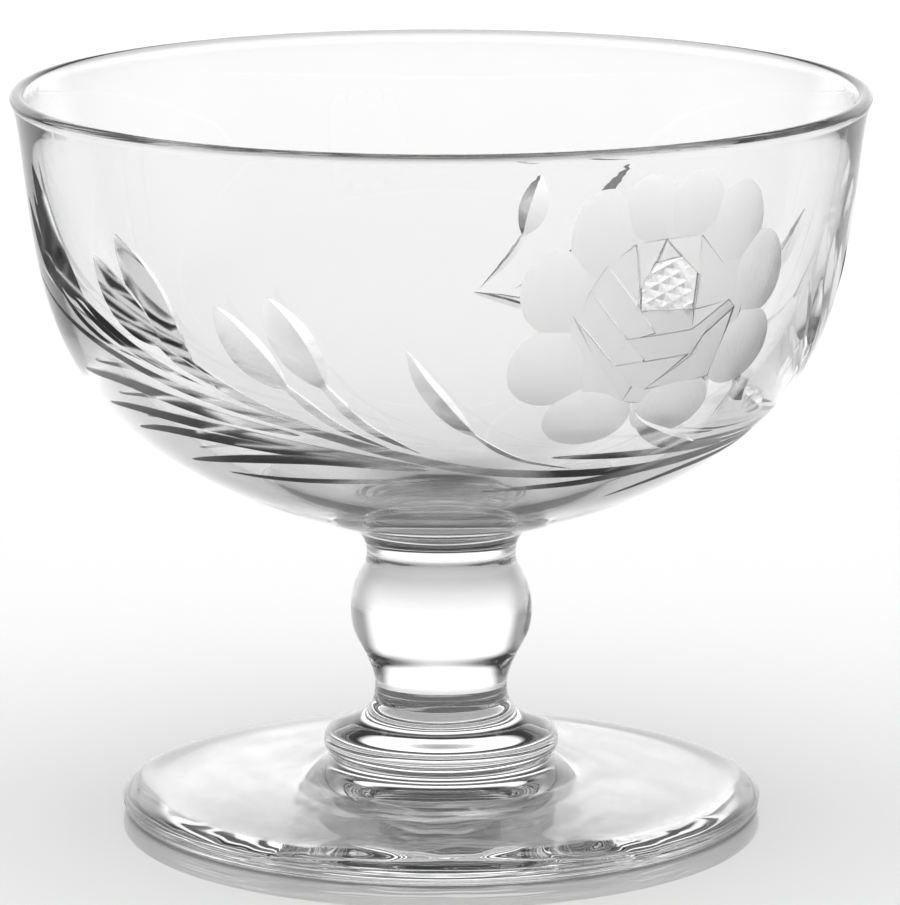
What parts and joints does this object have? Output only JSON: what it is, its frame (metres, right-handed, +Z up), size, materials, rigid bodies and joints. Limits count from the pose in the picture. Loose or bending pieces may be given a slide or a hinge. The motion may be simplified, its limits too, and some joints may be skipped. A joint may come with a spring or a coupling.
{
  "type": "cocktail glass",
  "caption": "Low clear cocktail glass: a deep round bowl with a cut rose and leaf spray, on a knopped stem with a collar and a flat round foot, for a short drink.",
  "frame": {"origin": "on the table, under the middle of the foot", "axes": "+Z up along the glass's axis of revolution; the front of the cut spray faces -Y, with the rose towards +X"},
  "size_m": [0.0888, 0.0888, 0.0762],
  "materials": {
    "clear_glass": "clear, fire-polished, with polished mitre cuts and a ground rose"
  },
  "bodies": {
    "root": {"foot": "clear_glass", "collar": "clear_glass", "stem": "clear_glass", "bowl": "clear_glass"}
  },
  "joints": []
}
